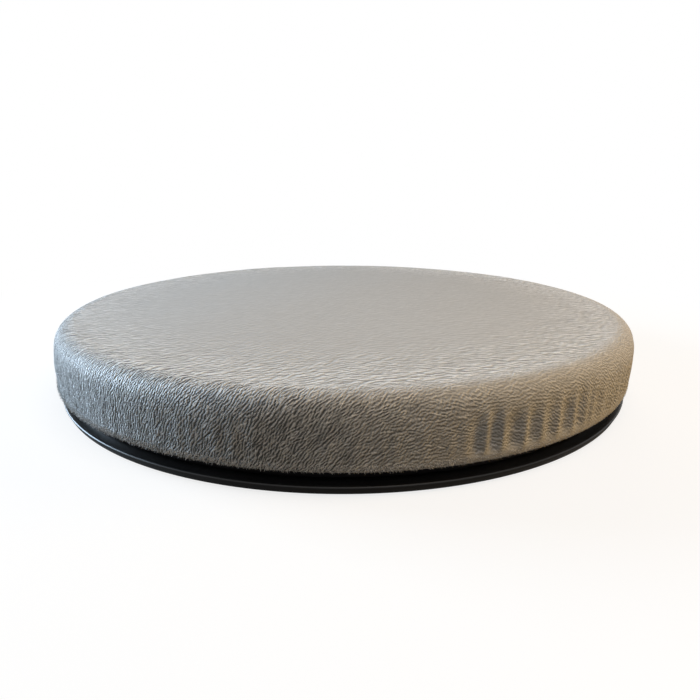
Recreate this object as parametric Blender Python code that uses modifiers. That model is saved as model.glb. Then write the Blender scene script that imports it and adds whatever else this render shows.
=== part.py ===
# Swivel seat cushion: a round plush-covered foam pad on a two-plate turntable with a ball race.
# Units are metres and +Z is up. The origin is the centre of the underside, on the swivel axis.

import math

import bmesh
import bpy
from mathutils import Matrix

# Driving dimensions: the cushion
CUSHION_RADIUS = 0.197        # widest place of the cover
FOAM_HEIGHT = 0.0302          # foam from its underside to its top edge
SIDE_HEIGHT = 0.0134          # foam underside up to the widest place
SHOULDER_REACH = 0.0146       # how far the rounded shoulder reaches in
SHOULDER_FULLNESS = 0.8       # 1 is an ellipse, less is fuller
CROWN = 0.002                 # rise of the top from its edge to its middle
HEM_DRAW = 0.0006             # how much the side is drawn in at the hem
HEM_ROUND = 0.003             # radius of the turn at the hem
COVER_THICKNESS = 0.001
ELASTIC_RADIUS = 0.0009       # cord in the hem
HOOK_END = -240               # degrees round the elastic where its casing ends

# Driving dimensions: the base plate and its grip pads
RIM_INSET = 0.002             # rim's top edge inside the cover's widest place
RIM_DRAFT = 0.0016            # how much the rim narrows to its foot
RIM_WALL = 0.0026
RIM_LIP = 0.001               # rim and ledge above the web
RIM_ROUND = 0.0008
BASE_WEB = 0.0022
BASE_RECESS = 0.0012          # web's underside above the rim's foot
STAND_OFF = 0.0008            # rim's foot above the chair
PAD_COUNT = 8
PAD_RADIUS = 0.011
PAD_INSET = 0.03              # middle of a pad inside the rim's edge
PAD_COLLAR = 0.0014           # wall round each pad
PAD_BEVEL = 0.0003

# Driving dimensions: the turntable plate
TURNTABLE_WEB = 0.002
SKIRT_SETBACK = 0.0072        # skirt inside the rim's edge
SKIRT_WALL = 0.002
SKIRT_GAP = 0.0008            # skirt above the rim's ledge
LEDGE_MARGIN = 0.003          # ledge reaches this far inside the skirt
FLANGE_ROUND = 0.0006

# Driving dimensions: the ball race
BALL_COUNT = 24
BALL_RADIUS = 0.004
RACE_RADIUS = 0.11
RACE_FLOOR = 0.001            # plastic between a track and its web
RACE_WALL = 0.003             # wall beside a track
CAGE_THICKNESS = 0.002
CAGE_MARGIN = 0.0045          # cage beyond the balls, inwards and outwards
CAGE_GAP = 0.0008             # cage to each track wall

# Driving dimensions: the ribs
RIB_COUNT = 16
RIB_THICKNESS = 0.0016
RIB_CLEAR = 0.0003            # base ribs above the rim's foot
TURNTABLE_RIB = 0.002         # depth of the turntable's ribs
RIB_SINK = 0.0005             # how far a rib runs into what it joins

# Driving dimensions: the pivot
BOLT_RADIUS = 0.004
HEAD_RADIUS = 0.009
HEAD_THICKNESS = 0.0024
HEAD_SINK = 0.0008            # bolt head above the rim's foot
HEAD_CHAMFER = 0.0006
SOCKET_RADIUS = 0.0029        # across corners
SOCKET_DEPTH = 0.0013
COLLAR_WALL = 0.004           # plastic round the bolt head
HUB_RADIUS = 0.022
HUB_FLOOR = 0.0035            # turntable hub between washer and washer
BUSH_WALL = 0.0017
THRUST_RADIUS = 0.017
THRUST_THICKNESS = 0.0012
WASHER_RADIUS = 0.012
WASHER_THICKNESS = 0.0012
WASHER_MARGIN = 0.0015        # recess round the washer
NUT_RADIUS = 0.0072           # across corners
NUT_HEIGHT = 0.005
BOLT_END = 0.0008             # bolt beyond the nut
RELIEF_MARGIN = 0.001         # foam clear of the bolt's end

# Clearance and facets
GAP = 0.0003                  # between pieces that touch
TURN_SIDES = 52               # sides of a large turned piece
PIVOT_SIDES = 24              # sides of a pivot part
PAD_SIDES = 20
POCKET_SIDES = 14
ELASTIC_SIDES = 8
BALL_SIDES = 12
BALL_RINGS = 8
SHARP_ANGLE = math.radians(35)

# Heights, from the chair up
rim_foot = STAND_OFF
base_under = rim_foot + BASE_RECESS
base_top = base_under + BASE_WEB
rim_top = base_top + RIM_LIP
ball_height = base_top + RACE_FLOOR + GAP + BALL_RADIUS
turntable_under = ball_height + BALL_RADIUS + GAP + RACE_FLOOR
turntable_top = turntable_under + TURNTABLE_WEB
skirt_foot = rim_top + SKIRT_GAP
foam_under = turntable_top + GAP
widest_height = foam_under + SIDE_HEIGHT
cover_inset = COVER_THICKNESS + GAP
top_edge = foam_under + FOAM_HEIGHT + cover_inset

# Heights of the pivot, from the bolt head up
head_under = rim_foot + HEAD_SINK
head_top = head_under + HEAD_THICKNESS
thrust_under = ball_height - THRUST_THICKNESS / 2
thrust_top = ball_height + THRUST_THICKNESS / 2
base_hub_top = thrust_under - GAP
turntable_hub_under = thrust_top + GAP
recess_floor = turntable_hub_under + HUB_FLOOR
washer_under = recess_floor + GAP
washer_top = washer_under + WASHER_THICKNESS
nut_under = washer_top + GAP
nut_top = nut_under + NUT_HEIGHT
bolt_top = nut_top + BOLT_END
relief_top = bolt_top + RELIEF_MARGIN

# Radii
hem_radius = CUSHION_RADIUS - HEM_DRAW
flange_radius = hem_radius - cover_inset
rim_radius = CUSHION_RADIUS - RIM_INSET
pad_circle = rim_radius - PAD_INSET
skirt_radius = rim_radius - SKIRT_SETBACK
ledge_radius = skirt_radius - SKIRT_WALL - LEDGE_MARGIN
rim_inner = rim_radius - RIM_DRAFT - RIM_WALL
bolt_hole = BOLT_RADIUS + GAP
head_hole = HEAD_RADIUS + GAP
bush_radius = bolt_hole + BUSH_WALL
bush_hole = bush_radius + GAP
recess_radius = WASHER_RADIUS + WASHER_MARGIN
relief_radius = recess_radius + RELIEF_MARGIN
track_radius = BALL_RADIUS + GAP
track_half_gap = CAGE_THICKNESS / 2 + CAGE_GAP
track_half_width = math.sqrt(track_radius ** 2 - track_half_gap ** 2)
ridge_half_width = track_half_width + RACE_WALL

# The hem casing, which hooks round the elastic under the flange
casing_inner = ELASTIC_RADIUS + GAP
casing_outer = casing_inner + COVER_THICKNESS
casing_radius = skirt_radius + GAP + casing_outer
casing_height = turntable_under - GAP - casing_outer


def clear_scene():
    for obj in list(bpy.data.objects):
        bpy.data.objects.remove(obj, do_unlink=True)


def make_collection(name):
    collection = bpy.data.collections.new(name)
    bpy.context.scene.collection.children.link(collection)
    return collection


def make_material(name, colour, roughness, metallic=0.0):
    material = bpy.data.materials.new(name)
    material.use_nodes = True
    shader = material.node_tree.nodes["Principled BSDF"]
    shader.inputs["Base Color"].default_value = (*colour, 1.0)
    shader.inputs["Roughness"].default_value = roughness
    shader.inputs["Metallic"].default_value = metallic
    material.diffuse_color = (*colour, 1.0)
    return material


def make_axis(name):
    """An empty on the swivel axis, which a moving group is parented to."""
    axis = bpy.data.objects.new(name, None)
    parts.objects.link(axis)
    return axis


def add_part(name, mesh, material, parent=None, location=(0, 0, 0)):
    obj = bpy.data.objects.new(name, mesh)
    parts.objects.link(obj)
    if not mesh.materials:
        mesh.materials.append(material)
    obj.location = location
    obj.parent = parent
    return obj


def shade(mesh):
    mesh.shade_smooth()
    mesh.set_sharp_from_angle(angle=SHARP_ANGLE)
    return mesh


def mesh_from(bm, name):
    mesh = bpy.data.meshes.new(name)
    bm.to_mesh(mesh)
    bm.free()
    return shade(mesh)


def turn(name, profile, sides=TURN_SIDES, on_axis=False):
    """Turns (radius, height) points about Z. They run down the outer side, and close unless on the axis."""
    line = bpy.data.meshes.new(name + "_profile")
    last = len(profile) - 1
    edges = [(i, i + 1) for i in range(last)]
    if not on_axis:
        edges.append((last, 0))
    line.from_pydata([(radius, 0, height) for radius, height in profile], edges, [])
    obj = bpy.data.objects.new(name + "_profile", line)
    parts.objects.link(obj)
    screw = obj.modifiers.new("turn", "SCREW")
    screw.axis = "Z"
    screw.steps = sides
    screw.render_steps = sides
    screw.use_merge_vertices = True
    screw.merge_threshold = 0.00001
    evaluated = obj.evaluated_get(bpy.context.evaluated_depsgraph_get())
    mesh = bpy.data.meshes.new_from_object(evaluated)
    mesh.name = name
    bpy.data.objects.remove(obj)
    return shade(mesh)


def arc(centre, radius, start, end, steps):
    """Points on a circle round (radius, height) centre, with both ends."""
    points = []
    for i in range(steps + 1):
        angle = math.radians(start + (end - start) * i / steps)
        points.append((centre[0] + radius * math.cos(angle), centre[1] + radius * math.sin(angle)))
    return points


def ring_positions(count, radius, height, phase=0.0):
    positions = []
    for i in range(count):
        angle = 2 * math.pi * (i + phase) / count
        positions.append((radius * math.cos(angle), radius * math.sin(angle), height))
    return positions


def add_tool(name, mesh):
    """A solid that is cut from a part or joined to it, and isn't a part itself."""
    obj = bpy.data.objects.new(name, mesh)
    cutters.objects.link(obj)
    obj.hide_render = True
    obj.display_type = "WIRE"
    return obj


def combine(obj, tool, operation):
    boolean = obj.modifiers.new(tool.name, "BOOLEAN")
    boolean.operation = operation
    boolean.solver = "EXACT"
    boolean.object = tool


def radial_ribs(bm, inner, outer, under, top):
    """Upright ribs along the radii, half a step off the X axis."""
    for i in range(RIB_COUNT):
        angle = 2 * math.pi * (i + 0.5) / RIB_COUNT
        rib = bmesh.ops.create_cube(bm, size=1.0)["verts"]
        bmesh.ops.scale(bm, vec=(outer - inner, RIB_THICKNESS, top - under), verts=rib)
        bmesh.ops.translate(bm, vec=((inner + outer) / 2, 0, (under + top) / 2), verts=rib)
        bmesh.ops.rotate(bm, cent=(0, 0, 0), matrix=Matrix.Rotation(angle, 3, "Z"), verts=rib)


def cushion_outline(inset, shoulder_steps, crown_steps):
    """The top, shoulder and side, set in from the cover's face, from the axis down to the widest place."""
    shoulder_start = CUSHION_RADIUS - SHOULDER_REACH
    reach = SHOULDER_REACH - inset
    drop = top_edge - widest_height - inset
    points = []
    for i in range(crown_steps):
        share = i / crown_steps
        points.append((shoulder_start * share, widest_height + drop + CROWN * (1 - share ** 2)))
    for i in range(shoulder_steps + 1):
        angle = math.pi / 2 * (1 - i / shoulder_steps)
        out = abs(math.cos(angle)) ** SHOULDER_FULLNESS if i else 0.0
        up = math.sin(angle) ** SHOULDER_FULLNESS
        points.append((shoulder_start + reach * out, widest_height + drop * up))
    return points


def hem_turn(turn_radius, hook_radius, steps):
    """One face of the cover, where it turns under the flange and hooks round the elastic."""
    turn_centre = (hem_radius - HEM_ROUND, turntable_under)
    across = turn_centre[0] - casing_radius
    down = turn_centre[1] - casing_height
    slope = math.degrees(math.atan2(down, across))
    lean = math.degrees(math.asin((HEM_ROUND - casing_outer) / math.hypot(across, down)))
    tangent = slope - lean - 90
    points = arc(turn_centre, turn_radius, 0, tangent, steps)
    points += arc((casing_radius, casing_height), hook_radius, tangent, HOOK_END, 3)
    return points


def make_cover():
    outside = cushion_outline(0, 4, 2)
    outside += hem_turn(HEM_ROUND, casing_outer, 2)
    inside = cushion_outline(COVER_THICKNESS, 3, 1)
    inside += hem_turn(HEM_ROUND - COVER_THICKNESS, casing_inner, 1)
    profile = outside + inside[::-1]
    return add_part("plush_cover", turn("plush_cover", profile, on_axis=True), plush, swivel_axis)


def make_elastic():
    bpy.ops.mesh.primitive_torus_add(
        major_segments=TURN_SIDES,
        minor_segments=ELASTIC_SIDES,
        major_radius=casing_radius,
        minor_radius=ELASTIC_RADIUS,
        location=(0, 0, 0),
    )
    torus = bpy.context.object
    mesh = torus.data
    bpy.data.objects.remove(torus)
    mesh.name = "hem_elastic"
    return add_part("hem_elastic", shade(mesh), elastic, swivel_axis, (0, 0, casing_height))


def make_foam():
    profile = cushion_outline(cover_inset, 3, 1)
    profile.append((flange_radius, foam_under))
    profile.append((relief_radius, foam_under))
    profile.append((relief_radius, relief_top))
    profile.append((0, relief_top))
    return add_part("foam_pad", turn("foam_pad", profile, on_axis=True), foam, swivel_axis)


def make_turntable():
    track = arc((RACE_RADIUS, ball_height), track_radius, *track_angles(True), 4)
    ridge_foot = ball_height + track_half_gap
    profile = [
        (bush_hole, recess_floor),
        (recess_radius, recess_floor),
        (recess_radius, turntable_top),
        (flange_radius - FLANGE_ROUND, turntable_top),
        (flange_radius, turntable_top - FLANGE_ROUND),
        (flange_radius, turntable_under),
        (skirt_radius, turntable_under),
        (skirt_radius, skirt_foot),
        (skirt_radius - SKIRT_WALL, skirt_foot),
        (skirt_radius - SKIRT_WALL, turntable_under),
        (RACE_RADIUS + ridge_half_width, turntable_under),
        (RACE_RADIUS + ridge_half_width, ridge_foot),
        *track,
        (RACE_RADIUS - ridge_half_width, ridge_foot),
        (RACE_RADIUS - ridge_half_width, turntable_under),
        (HUB_RADIUS, turntable_under),
        (HUB_RADIUS, turntable_hub_under),
        (bush_hole, turntable_hub_under),
    ]
    plate = add_part("turntable_plate", turn("turntable_plate", profile), plastic, swivel_axis)
    under = turntable_under - TURNTABLE_RIB
    top = turntable_under + RIB_SINK
    bm = bmesh.new()
    radial_ribs(bm, HUB_RADIUS - RIB_SINK, RACE_RADIUS - ridge_half_width + RIB_SINK, under, top)
    radial_ribs(bm, RACE_RADIUS + ridge_half_width - RIB_SINK, skirt_radius - SKIRT_WALL + RIB_SINK, under, top)
    combine(plate, add_tool("turntable_ribs", mesh_from(bm, "turntable_ribs")), "UNION")
    return plate


def track_angles(upper):
    """Where a track's arc starts and ends, so that it runs outwards on the base and inwards above."""
    edge = math.degrees(math.asin(track_half_gap / track_radius))
    return (edge, 180 - edge) if upper else (180 + edge, 360 - edge)


def make_base():
    track = arc((RACE_RADIUS, ball_height), track_radius, *track_angles(False), 4)
    ridge_top = ball_height - track_half_gap
    collar_radius = head_hole + COLLAR_WALL
    rim_edge = arc((rim_radius - RIM_ROUND, rim_top - RIM_ROUND), RIM_ROUND, 90, 0, 2)
    profile = [
        (bolt_hole, base_hub_top),
        (HUB_RADIUS, base_hub_top),
        (HUB_RADIUS, base_top),
        (RACE_RADIUS - ridge_half_width, base_top),
        (RACE_RADIUS - ridge_half_width, ridge_top),
        *track,
        (RACE_RADIUS + ridge_half_width, ridge_top),
        (RACE_RADIUS + ridge_half_width, base_top),
        (ledge_radius, base_top),
        (ledge_radius, rim_top),
        *rim_edge,
        (rim_radius - RIM_DRAFT, rim_foot),
        (rim_inner, rim_foot),
        (rim_inner, base_under),
        (collar_radius, base_under),
        (collar_radius, rim_foot),
        (head_hole, rim_foot),
        (head_hole, head_top + GAP),
        (bolt_hole, head_top + GAP),
    ]
    plate = add_part("base_plate", turn("base_plate", profile), plastic)
    bm = bmesh.new()
    radial_ribs(bm, collar_radius - RIB_SINK, rim_inner + RIB_SINK, rim_foot + RIB_CLEAR, base_under + RIB_SINK)
    combine(plate, add_tool("base_ribs", mesh_from(bm, "base_ribs")), "UNION")
    pad_hole = PAD_RADIUS + GAP
    collar = [
        (pad_hole + PAD_COLLAR, base_under + RIB_SINK),
        (pad_hole + PAD_COLLAR, rim_foot + RIB_CLEAR),
        (pad_hole, rim_foot + RIB_CLEAR),
        (pad_hole, base_under + RIB_SINK),
    ]
    collar_mesh = turn("pad_collar", collar, PAD_SIDES)
    for number, place in enumerate(ring_positions(PAD_COUNT, pad_circle, 0), start=1):
        tool = add_tool(f"pad_collar_{number}", collar_mesh)
        tool.location = place
        combine(plate, tool, "UNION")
    return plate


def make_grip_pads():
    pad_top = base_under - GAP
    profile = [
        (0, pad_top),
        (PAD_RADIUS, pad_top),
        (PAD_RADIUS, PAD_BEVEL),
        (PAD_RADIUS - PAD_BEVEL, 0),
        (0, 0),
    ]
    mesh = turn("grip_pad", profile, PAD_SIDES, on_axis=True)
    for number, place in enumerate(ring_positions(PAD_COUNT, pad_circle, 0), start=1):
        add_part(f"grip_pad_{number}", mesh, rubber, location=place)


def make_cage():
    half = CAGE_THICKNESS / 2
    inner = RACE_RADIUS - BALL_RADIUS - CAGE_MARGIN
    outer = RACE_RADIUS + BALL_RADIUS + CAGE_MARGIN
    profile = [(inner, half), (outer, half), (outer, -half), (inner, -half)]
    cage = add_part("ball_cage", turn("ball_cage", profile), nylon, cage_axis, (0, 0, ball_height))
    bm = bmesh.new()
    for place in ring_positions(BALL_COUNT, RACE_RADIUS, 0):
        pocket = bmesh.ops.create_cone(
            bm,
            cap_ends=True,
            segments=POCKET_SIDES,
            radius1=BALL_RADIUS + GAP,
            radius2=BALL_RADIUS + GAP,
            depth=CAGE_THICKNESS * 2,
        )["verts"]
        bmesh.ops.translate(bm, vec=place, verts=pocket)
    pockets = add_tool("ball_pockets", mesh_from(bm, "ball_pockets"))
    pockets.location.z = ball_height
    combine(cage, pockets, "DIFFERENCE")
    return cage


def make_balls():
    bm = bmesh.new()
    bmesh.ops.create_uvsphere(bm, u_segments=BALL_SIDES, v_segments=BALL_RINGS, radius=BALL_RADIUS)
    mesh = mesh_from(bm, "ball")
    for number, place in enumerate(ring_positions(BALL_COUNT, RACE_RADIUS, ball_height), start=1):
        add_part(f"ball_{number:02d}", mesh, steel, cage_axis, place)


def make_ring(name, inner, outer, under, top, material):
    profile = [(inner, top), (outer, top), (outer, under), (inner, under)]
    return add_part(name, turn(name, profile, PIVOT_SIDES), material)


def make_bolt():
    profile = [
        (0, bolt_top),
        (BOLT_RADIUS - HEAD_CHAMFER, bolt_top),
        (BOLT_RADIUS, bolt_top - HEAD_CHAMFER),
        (BOLT_RADIUS, head_top),
        (HEAD_RADIUS, head_top),
        (HEAD_RADIUS, head_under + HEAD_CHAMFER),
        (HEAD_RADIUS - HEAD_CHAMFER, head_under),
        (0, head_under),
    ]
    bolt = add_part("pivot_bolt", turn("pivot_bolt", profile, PIVOT_SIDES, on_axis=True), steel)
    bm = bmesh.new()
    bmesh.ops.create_cone(
        bm,
        cap_ends=True,
        segments=6,
        radius1=SOCKET_RADIUS,
        radius2=SOCKET_RADIUS,
        depth=SOCKET_DEPTH * 2,
    )
    socket = add_tool("bolt_socket", mesh_from(bm, "bolt_socket"))
    socket.location.z = head_under
    combine(bolt, socket, "DIFFERENCE")
    return bolt


def make_nut():
    bm = bmesh.new()
    bmesh.ops.create_cone(
        bm,
        cap_ends=True,
        segments=6,
        radius1=NUT_RADIUS,
        radius2=NUT_RADIUS,
        depth=NUT_HEIGHT,
    )
    nut = add_part("lock_nut", mesh_from(bm, "lock_nut"), steel, location=(0, 0, (nut_under + nut_top) / 2))
    hole = [(0, NUT_HEIGHT), (bolt_hole, NUT_HEIGHT), (bolt_hole, -NUT_HEIGHT), (0, -NUT_HEIGHT)]
    bore = add_tool("nut_bore", turn("nut_bore", hole, PIVOT_SIDES, on_axis=True))
    bore.location.z = (nut_under + nut_top) / 2
    combine(nut, bore, "DIFFERENCE")
    return nut


clear_scene()
parts = make_collection("swivel_seat_cushion")
cutters = make_collection("cutters")

plush = make_material("plush", (0.33, 0.325, 0.315), 0.95)
foam = make_material("foam", (0.72, 0.66, 0.48), 0.9)
elastic = make_material("elastic", (0.12, 0.12, 0.12), 0.8)
plastic = make_material("black_plastic", (0.012, 0.012, 0.013), 0.4)
nylon = make_material("nylon", (0.7, 0.69, 0.65), 0.45)
steel = make_material("steel", (0.6, 0.6, 0.62), 0.25, 1.0)
rubber = make_material("rubber", (0.02, 0.02, 0.02), 0.85)

swivel_axis = make_axis("swivel_axis")
cage_axis = make_axis("cage_axis")

make_base()
make_grip_pads()
make_bolt()
make_ring("pivot_bush", bolt_hole, bush_radius, thrust_under, recess_floor, nylon)
make_ring("thrust_washer", bush_hole, THRUST_RADIUS, thrust_under, thrust_top, nylon)
make_ring("retaining_washer", bolt_hole, WASHER_RADIUS, washer_under, washer_top, steel)
make_nut()
make_cage()
make_balls()
make_turntable()
make_foam()
make_elastic()
make_cover()
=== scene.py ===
import math
import random

import bpy
from mathutils import Matrix, Vector, noise


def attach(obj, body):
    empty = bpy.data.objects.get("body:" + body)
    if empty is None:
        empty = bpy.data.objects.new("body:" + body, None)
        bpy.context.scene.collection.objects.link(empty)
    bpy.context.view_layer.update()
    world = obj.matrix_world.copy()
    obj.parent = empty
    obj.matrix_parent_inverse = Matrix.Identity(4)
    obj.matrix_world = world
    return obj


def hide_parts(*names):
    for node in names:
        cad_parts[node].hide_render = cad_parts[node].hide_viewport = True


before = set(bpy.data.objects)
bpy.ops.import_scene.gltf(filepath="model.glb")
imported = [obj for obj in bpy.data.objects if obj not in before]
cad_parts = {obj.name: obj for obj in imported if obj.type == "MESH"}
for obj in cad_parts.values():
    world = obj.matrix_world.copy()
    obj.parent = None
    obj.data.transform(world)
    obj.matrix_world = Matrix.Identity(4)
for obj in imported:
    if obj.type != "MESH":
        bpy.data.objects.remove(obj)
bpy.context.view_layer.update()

print("frame loaded")


# selecting, joining and finishing pieces

def selectOnly(piece):
    bpy.ops.object.select_all(action="DESELECT")
    piece.select_set(True)
    bpy.context.view_layer.objects.active = piece


def editAll(piece):
    selectOnly(piece)
    bpy.ops.object.mode_set(mode="EDIT")
    bpy.ops.mesh.select_all(action="SELECT")


def leaveEdit():
    bpy.ops.object.mode_set(mode="OBJECT")


def placeInMesh(piece):  # the object ends at the origin, unturned and unscaled
    selectOnly(piece)
    bpy.ops.object.transform_apply(location=True, rotation=True, scale=True)


def applyModifiers(piece):
    selectOnly(piece)
    for modifier in list(piece.modifiers):
        bpy.ops.object.modifier_apply(modifier=modifier.name)


def joinPieces(main, others):
    selectOnly(main)
    for piece in others:
        piece.select_set(True)
    bpy.ops.object.join()
    return main


def smoothOver(piece, angle=35):
    selectOnly(piece)
    bpy.ops.object.shade_smooth_by_angle(angle=math.radians(angle))


def softEdges(piece, width, segments=2, angle=40):
    bevel = piece.modifiers.new("softEdges", "BEVEL")
    bevel.width = width
    bevel.segments = segments
    bevel.limit_method = "ANGLE"
    bevel.angle_limit = math.radians(angle)
    applyModifiers(piece)


def finishPiece(piece, material, body, slot, *nodes):
    piece.data.materials.clear()
    piece.data.materials.append(material)
    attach(piece, body)
    if nodes:
        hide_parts(*nodes)


def arcPoints(centre, radius, start, end, steps):  # (radius, height) points, angles in degrees
    points = []
    for i in range(steps + 1):
        angle = math.radians(start + (end - start) * i / steps)
        points.append((centre[0] + radius * math.cos(angle), centre[1] + radius * math.sin(angle)))
    return points


def drawOutline(name, outline, closed):
    bpy.ops.object.select_all(action="DESELECT")
    bpy.ops.mesh.primitive_plane_add(size=0.001, location=(outline[0][0], 0, outline[0][1]))
    piece = bpy.context.object
    piece.name = name
    placeInMesh(piece)
    editAll(piece)
    bpy.ops.mesh.merge(type="CENTER")
    ahead = outline[1:] + outline[:1] if closed else outline[1:]
    last = outline[0]
    for point in ahead:
        step = (point[0] - last[0], 0, point[1] - last[1])
        bpy.ops.mesh.extrude_vertices_move(TRANSFORM_OT_translate={"value": step})
        last = point
    leaveEdit()
    return piece


def spinRound(piece, steps):
    editAll(piece)
    bpy.ops.mesh.spin(steps=steps, angle=math.tau, center=(0, 0, 0), axis=(0, 0, 1))
    bpy.ops.mesh.select_all(action="SELECT")
    bpy.ops.mesh.remove_doubles(threshold=0.00001)
    bpy.ops.mesh.normals_make_consistent(inside=False)
    leaveEdit()


def turnedPiece(name, outline, steps, closed=True):
    piece = drawOutline(name, outline, closed)
    spinRound(piece, steps)
    return piece


def copiesRound(piece, count, firstTurn=0.0):  # repeats the mesh round the axis
    editAll(piece)
    if firstTurn:
        bpy.ops.transform.rotate(value=firstTurn, orient_axis="Z", center_override=(0, 0, 0))
    for _ in range(count - 1):
        bpy.ops.mesh.duplicate()
        bpy.ops.transform.rotate(value=math.tau / count, orient_axis="Z", center_override=(0, 0, 0))
    leaveEdit()


# helpers for nodes, and the groups that more than one material uses

def addNode(tree, kind, inputs=None, **settings):
    made = tree.nodes.new(kind)
    for key, value in settings.items():
        setattr(made, key, value)
    for key, value in (inputs or {}).items():
        if isinstance(value, bpy.types.NodeSocket):
            tree.links.new(value, made.inputs[key])
        else:
            made.inputs[key].default_value = value
    return made


def calculate(tree, operation, *values):
    return addNode(tree, "ShaderNodeMath", dict(enumerate(values)), operation=operation).outputs[0]


def between(tree, value, limits, low=0.0, high=1.0):  # goes from low to high as the value passes the limits
    return addNode(
        tree,
        "ShaderNodeMapRange",
        {0: value, 1: limits[0], 2: limits[1], 3: low, 4: high},
        interpolation_type="SMOOTHSTEP",
    ).outputs[0]


def spread(tree, value, limits, ends):  # the same, at an even rate
    return addNode(
        tree,
        "ShaderNodeMapRange",
        {0: value, 1: limits[0], 2: limits[1], 3: ends[0], 4: ends[1]},
    ).outputs[0]


def mixed(tree, share, first, second):
    return addNode(tree, "ShaderNodeMix", {0: share, 2: first, 3: second}, data_type="FLOAT").outputs[0]


def cloudy(tree, place, scale, detail=1.0, roughness=0.5):
    return addNode(
        tree,
        "ShaderNodeTexNoise",
        {"Vector": place, "Scale": scale, "Detail": detail, "Roughness": roughness},
    ).outputs


def tinted(tree, value, stops):  # a colour from pairs of position and colour, in order
    shade = addNode(tree, "ShaderNodeValToRGB", {0: value})
    elements = shade.color_ramp.elements
    elements[0].position, elements[0].color = stops[0]
    elements[1].position, elements[1].color = stops[-1]
    for position, colour in stops[1:-1]:
        elements.new(position).color = colour
    return shade.outputs[0]


def giveRelief(tree, shader, height, strength, depth):
    bump = addNode(tree, "ShaderNodeBump", {"Strength": strength, "Distance": depth, "Height": height})
    tree.links.new(bump.outputs[0], shader.inputs["Normal"])


def newMaterial(name):
    material = bpy.data.materials.new(name)
    material.use_nodes = True
    return material, material.node_tree, material.node_tree.nodes["Principled BSDF"]


def newGroup(name, inputs, outputs):
    group = bpy.data.node_groups.new(name, "ShaderNodeTree")
    for label, kind, value in inputs:
        socket = group.interface.new_socket(label, in_out="INPUT", socket_type=kind)
        if value is not None:
            socket.default_value = value
    for label in outputs:
        group.interface.new_socket(label, in_out="OUTPUT", socket_type="NodeSocketFloat")
    return group, group.nodes.new("NodeGroupInput").outputs, group.nodes.new("NodeGroupOutput").inputs


fibrePattern = {
    "straightness": 0.95,
    "gaps": (0.32, 0.68),    # the ripple's heights where a gap ends and a streak is full
    "tufts": 0.8,            # to one length of pile
}


def buildLyingFibres():  # streaks side by side, broken into tufts, as pile lies on cloth
    group, given, result = newGroup(
        "lyingFibres",
        [
            ("Vector", "NodeSocketVector", None),
            ("Lie", "NodeSocketFloat", 0.8),
            ("Spacing", "NodeSocketFloat", 0.0011),
            ("Length", "NodeSocketFloat", 0.0036),
            ("Broken", "NodeSocketFloat", 0.5),
        ],
        ["Streaks"],
    )
    turned = calculate(group, "MULTIPLY", given["Lie"], -1.0)
    along = addNode(
        group,
        "ShaderNodeVectorRotate",
        {"Vector": given["Vector"], "Angle": turned},
        rotation_type="Z_AXIS",
    ).outputs[0]
    reach = calculate(group, "MULTIPLY", given["Length"], 0.5)
    fineness = calculate(group, "DIVIDE", 1.0, reach)
    waves = calculate(group, "DIVIDE", reach, given["Spacing"])
    ripple = addNode(
        group,
        "ShaderNodeTexGabor",
        {
            "Vector": along,
            "Scale": fineness,
            "Frequency": waves,
            "Anisotropy": fibrePattern["straightness"],
            4: math.pi / 2,
        },
        gabor_type="2D",
    ).outputs["Value"]
    pushed = between(group, ripple, fibrePattern["gaps"])
    size = addNode(group, "ShaderNodeCombineXYZ", {0: given["Length"], 1: given["Spacing"], 2: 1.0})
    scaled = addNode(group, "ShaderNodeVectorMath", {0: along, 1: size.outputs[0]}, operation="DIVIDE")
    cells = addNode(
        group,
        "ShaderNodeTexVoronoi",
        {"Vector": scaled.outputs[0], "Scale": fibrePattern["tufts"]},
        voronoi_dimensions="2D",
    )
    own = addNode(group, "ShaderNodeSeparateXYZ", {0: cells.outputs["Color"]}).outputs[0]
    missing = calculate(group, "MULTIPLY", own, given["Broken"])
    left = calculate(group, "SUBTRACT", 1.0, missing)
    group.links.new(calculate(group, "MULTIPLY", pushed, left), result["Streaks"])
    return group


def buildMouldGrain():  # the fine texture of a mould, and broad uneven patches
    group, given, result = newGroup(
        "mouldGrain",
        [
            ("Vector", "NodeSocketVector", None),
            ("Fine", "NodeSocketFloat", 1800.0),
            ("Broad", "NodeSocketFloat", 40.0),
        ],
        ["Height", "Patches"],
    )
    cells = addNode(
        group,
        "ShaderNodeTexVoronoi",
        {"Vector": given["Vector"], "Scale": given["Fine"]},
        feature="SMOOTH_F1",
    ).outputs["Distance"]
    ripple = cloudy(group, given["Vector"], given["Fine"], 3.0)["Fac"]
    patches = cloudy(group, given["Vector"], given["Broad"], 5.0, 0.6)["Fac"]
    group.links.new(calculate(group, "MULTIPLY", cells, ripple), result["Height"])
    group.links.new(patches, result["Patches"])
    return group


lyingFibres = buildLyingFibres()
mouldGrain = buildMouldGrain()


# materials

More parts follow.
